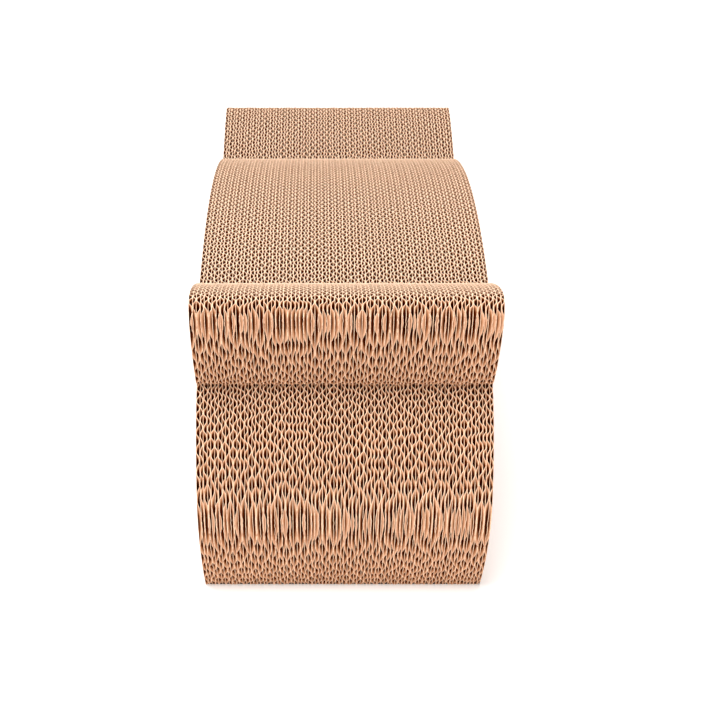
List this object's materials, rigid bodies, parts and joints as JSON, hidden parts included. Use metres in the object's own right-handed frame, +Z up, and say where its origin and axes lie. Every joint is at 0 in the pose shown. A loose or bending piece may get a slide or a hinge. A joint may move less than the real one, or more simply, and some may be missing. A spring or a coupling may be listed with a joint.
{
  "type": "cat scratcher lounge",
  "caption": "Free-standing cat scratching lounge of glued upright corrugated boards, cut to a rounded cat-head outline with an ear-like roll at each end and a domed seat between.",
  "frame": {"origin": "on the floor, under the middle of the lounge", "axes": "+X across the stacked boards to the right as seen from the pictured end, +Y from that end to the far end, +Z up"},
  "size_m": [0.2418, 0.5134, 0.2814],
  "materials": {
    "kraft_board": "matte raw kraft paper"
  },
  "bodies": {
    "root": {"outer_board_left": "kraft_board", "inner_board_01": "kraft_board", "inner_board_02": "kraft_board", "inner_board_03": "kraft_board", "inner_board_04": "kraft_board", "inner_board_05": "kraft_board", "inner_board_06": "kraft_board", "inner_board_07": "kraft_board", "inner_board_08": "kraft_board", "inner_board_09": "kraft_board", "inner_board_10": "kraft_board", "inner_board_11": "kraft_board", "inner_board_12": "kraft_board", "inner_board_13": "kraft_board", "inner_board_14": "kraft_board", "inner_board_15": "kraft_board", "inner_board_16": "kraft_board", "inner_board_17": "kraft_board", "inner_board_18": "kraft_board", "inner_board_19": "kraft_board", "inner_board_20": "kraft_board", "inner_board_21": "kraft_board", "inner_board_22": "kraft_board", "inner_board_23": "kraft_board", "inner_board_24": "kraft_board", "inner_board_25": "kraft_board", "inner_board_26": "kraft_board", "inner_board_27": "kraft_board", "inner_board_28": "kraft_board", "inner_board_29": "kraft_board", "inner_board_30": "kraft_board", "inner_board_31": "kraft_board", "inner_board_32": "kraft_board", "inner_board_33": "kraft_board", "inner_board_34": "kraft_board", "inner_board_35": "kraft_board", "inner_board_36": "kraft_board", "inner_board_37": "kraft_board", "inner_board_38": "kraft_board", "outer_board_right": "kraft_board"}
  },
  "joints": []
}
